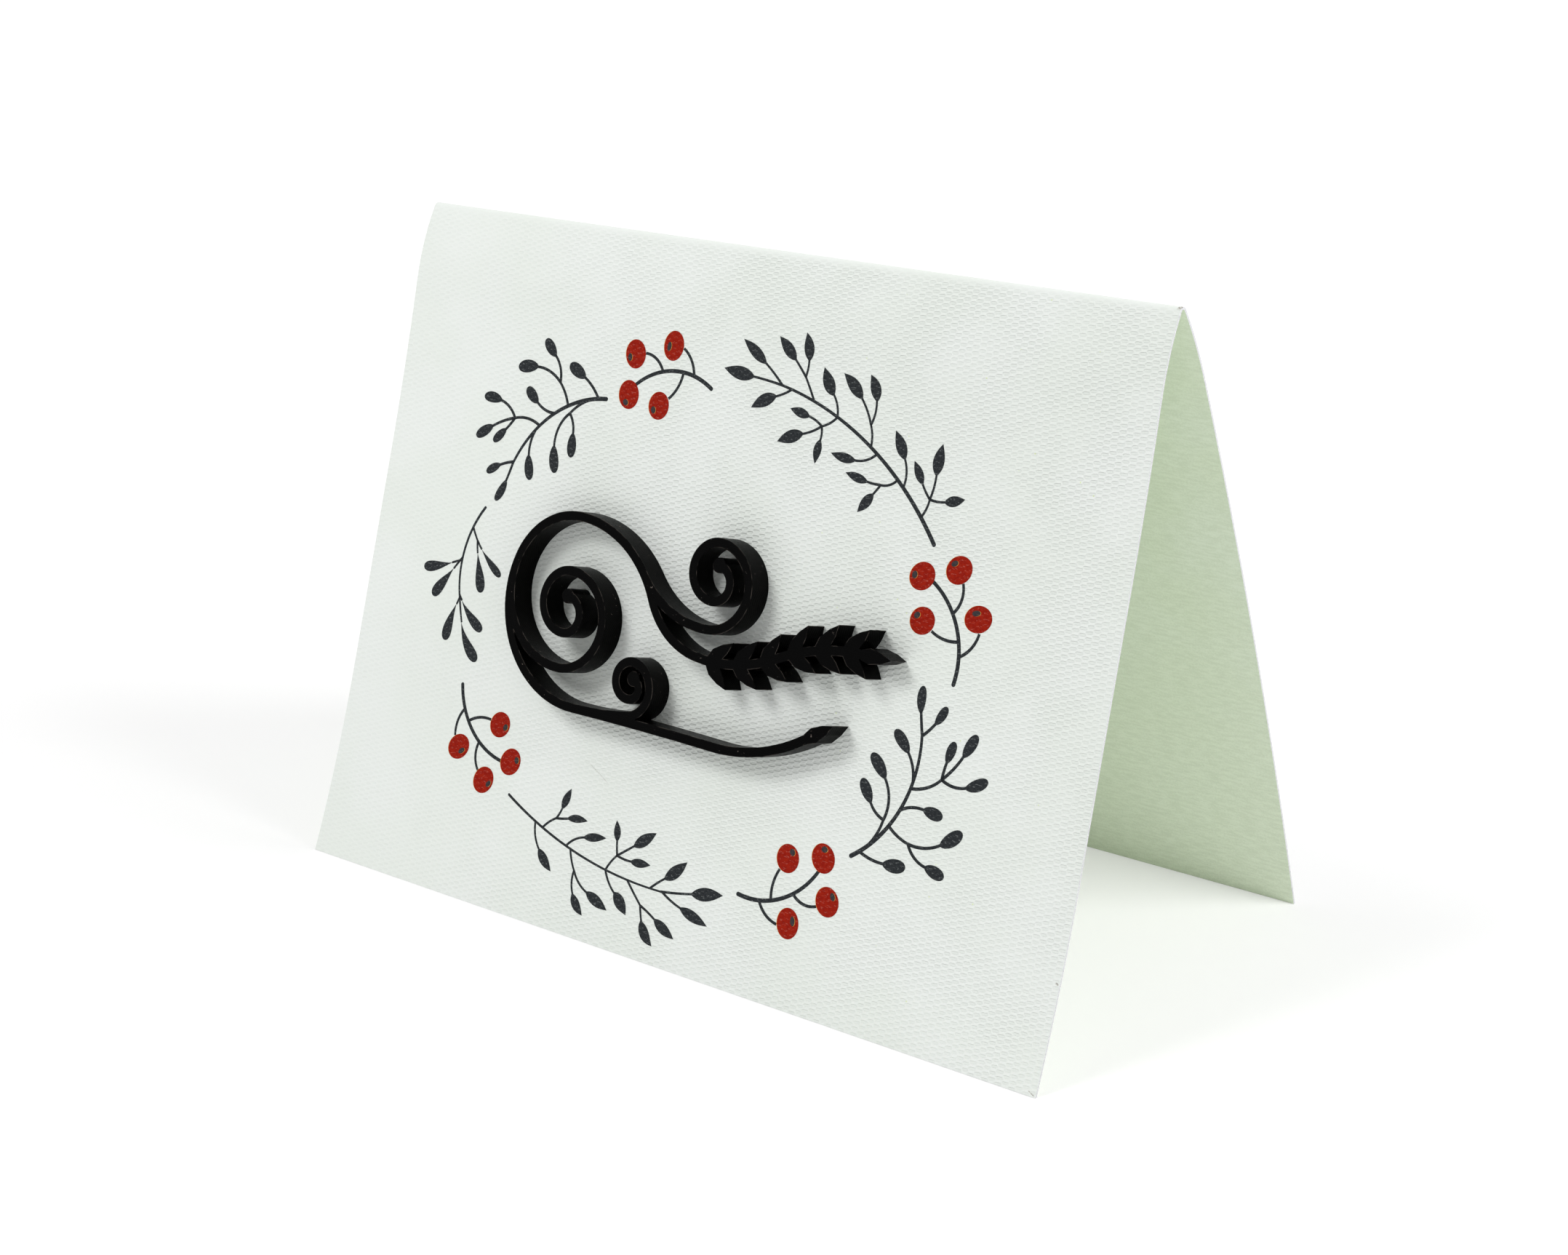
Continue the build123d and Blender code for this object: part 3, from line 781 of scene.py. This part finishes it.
# Where the sprigs and bunches start, in millimetres from the panel's middle, and their turns.
sprig_spots = (
    ((37.7, 16.3, 155.6), pointed_sprig, "pointed"),
    ((-31.9, -35.4, -8.0), low_sprig, "pointed"),
    ((-26.5, 27.6, -135.1), oval_sprig, "oval"),
    ((33.2, -29.0, 75.3), oval_sprig, "oval"),
    ((-47.2, 7.4, -81.7), drop_sprig, "drop"),
)
bunch_spots = (
    (-5.8, 32.2, -169.0), (45.1, -2.3, 120.6), (-45.9, -20.6, -37.4), (14.7, -39.6, 32.5),
)


def build_print():
    """The whole wreath, in three pieces by ink."""
    sprigs, berries, eyes = Print(), Print(), Print()
    for spot, sprig, kind in sprig_spots:
        draw_sprig(sprigs, spot, sprig, kind)
    for spot in bunch_spots:
        draw_bunch(sprigs, berries, eyes, spot)
    dark, red, yellow, eye = (ink(name) for name in inks)
    sprigs.finish("ink_sprigs", [dark], "print_sprigs", "dark_ink")
    berries.finish("ink_berries", [red, yellow], "print_berries", "red_ink")
    eyes.finish("ink_berry_eyes", [eye], "print_berry_eyes", "dark_ink")


# How much the ornament's corners are rounded, and from what angle in degrees.
corner_radius = 0.12 * MM
sharp_corner = 50


def dress_ornament():
    """The ornament keeps its solid, with its corners slightly rounded."""
    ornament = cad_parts["raised_flourish"]
    ornament.data.materials.clear()
    ornament.data.materials.append(black_plastic())
    rounding = ornament.modifiers.new("rounding", "BEVEL")
    rounding.width = corner_radius
    rounding.segments = 2
    rounding.limit_method = "ANGLE"
    rounding.angle_limit = math.radians(sharp_corner)
    rounding.harden_normals = True


# Floor, light and camera
def seen(n):
    """1 for what the camera sees, also mirrored or through something, 0 for light on the card."""
    path = n.add("ShaderNodeLightPath")
    glossy = n.math("MAXIMUM", path.outputs["Is Glossy Ray"], path.outputs["Is Transmission Ray"])
    return n.math("MAXIMUM", path.outputs["Is Camera Ray"], glossy)


floor_reach = 3.0
floor_top = -0.05 * MM
floor_to_light = (0.9, 0.9, 0.9, 1.0)
floor_to_camera = (0.7, 0.7, 0.7, 1.0)
# White that the floor shows besides its lit colour, at its middle, and how much more for each metre.
floor_glow = 0.33
floor_glow_per_metre = 0.27


def build_floor():
    """White table that keeps the card's shadow."""
    mesh = bpy.data.meshes.new("floor")
    corners = ((-1, -1), (1, -1), (1, 1), (-1, 1))
    verts = [(x * floor_reach, y * floor_reach, floor_top) for x, y in corners]
    mesh.from_pydata(verts, [], [(0, 1, 2, 3)])
    material = bpy.data.materials.new("white table")
    material.use_nodes = True
    n = Nodes(material.node_tree)
    n.tree.nodes.remove(n.tree.nodes["Principled BSDF"])
    look = seen(n)
    diffuse = n.add("ShaderNodeBsdfDiffuse")
    white = n.add("ShaderNodeEmission")
    n.link(n.mix(look, floor_to_light, floor_to_camera), diffuse.inputs["Color"])
    reach = n.add("ShaderNodeVectorMath", operation="LENGTH")
    n.link(n.add("ShaderNodeTexCoord").outputs["Object"], reach.inputs[0])
    glow = n.math("MULTIPLY_ADD", reach.outputs["Value"], floor_glow_per_metre, floor_glow)
    n.link(n.times(look, glow), white.inputs["Strength"])
    both = n.add("ShaderNodeAddShader")
    n.link(diffuse.outputs[0], both.inputs[0])
    n.link(white.outputs[0], both.inputs[1])
    n.link(both.outputs[0], n.tree.nodes["Material Output"].inputs["Surface"])
    mesh.materials.append(material)
    floor = bpy.data.objects.new("floor", mesh)
    bpy.context.scene.collection.objects.link(floor)


# Plain light on the card from all round, then lamps: name, place and size in metres, power in watts.
surround = 0.45
card_middle = (0.0, 0.0, 0.05)
lamps = (
    ("key", (-0.5, -0.7, 1.0), 0.5, 7.2),
    ("rim", (1.0, 0.25, 0.45), 0.7, 12.0),
)


def build_world():
    """Plain light from all round, seen as white."""
    world = bpy.data.worlds.new("studio")
    bpy.context.scene.world = world
    world.use_nodes = True
    n = Nodes(world.node_tree)
    n.tree.nodes.clear()
    blend = n.add("ShaderNodeMixShader")
    n.link(seen(n), blend.inputs[0])
    for index, power in ((1, surround), (2, 1.0)):
        glow = n.add("ShaderNodeBackground")
        glow.inputs["Color"].default_value = (1.0, 1.0, 1.0, 1.0)
        glow.inputs["Strength"].default_value = power
        n.link(glow.outputs[0], blend.inputs[index])
    n.link(blend.outputs[0], n.add("ShaderNodeOutputWorld").inputs["Surface"])


def add_lamp(name, place, size, power):
    """Square lamp that faces the card's middle."""
    data = bpy.data.lights.new(name, "AREA")
    data.size = size
    data.energy = power
    lamp = bpy.data.objects.new(name, data)
    bpy.context.scene.collection.objects.link(lamp)
    gaze = Vector(card_middle) - Vector(place)
    turn = gaze.to_track_quat("-Z", "Y").to_matrix().to_4x4()
    lamp.matrix_world = Matrix.Translation(place) @ turn


# The photograph's own view: angles in radians, place in millimetres, focal length in its pixels.
yaw, pitch, roll = 0.66673, 0.34647, 0.02332
camera_place = (243.226, -309.058, 183.839)
focal_length = 3743.0
photo_width = 2156


def add_camera():
    """Camera at the photograph's view."""
    data = bpy.data.cameras.new("camera")
    data.sensor_fit = "HORIZONTAL"
    data.sensor_width = 36.0
    data.lens = focal_length / photo_width * data.sensor_width
    data.clip_start = 0.01
    camera = bpy.data.objects.new("camera", data)
    bpy.context.scene.collection.objects.link(camera)
    tilt = Matrix.Rotation(math.pi / 2 - pitch, 4, "X") @ Matrix.Rotation(-roll, 4, "Z")
    turn = Matrix.Rotation(yaw, 4, "Z") @ tilt
    camera.matrix_world = Matrix.Translation(Vector(camera_place) * MM) @ turn
    bpy.context.scene.camera = camera


build_sheet()
build_print()
dress_ornament()
build_floor()
build_world()
for lamp in lamps:
    add_lamp(*lamp)
add_camera()
bpy.context.scene.view_settings.view_transform = "Standard"

bpy.context.view_layer.update()
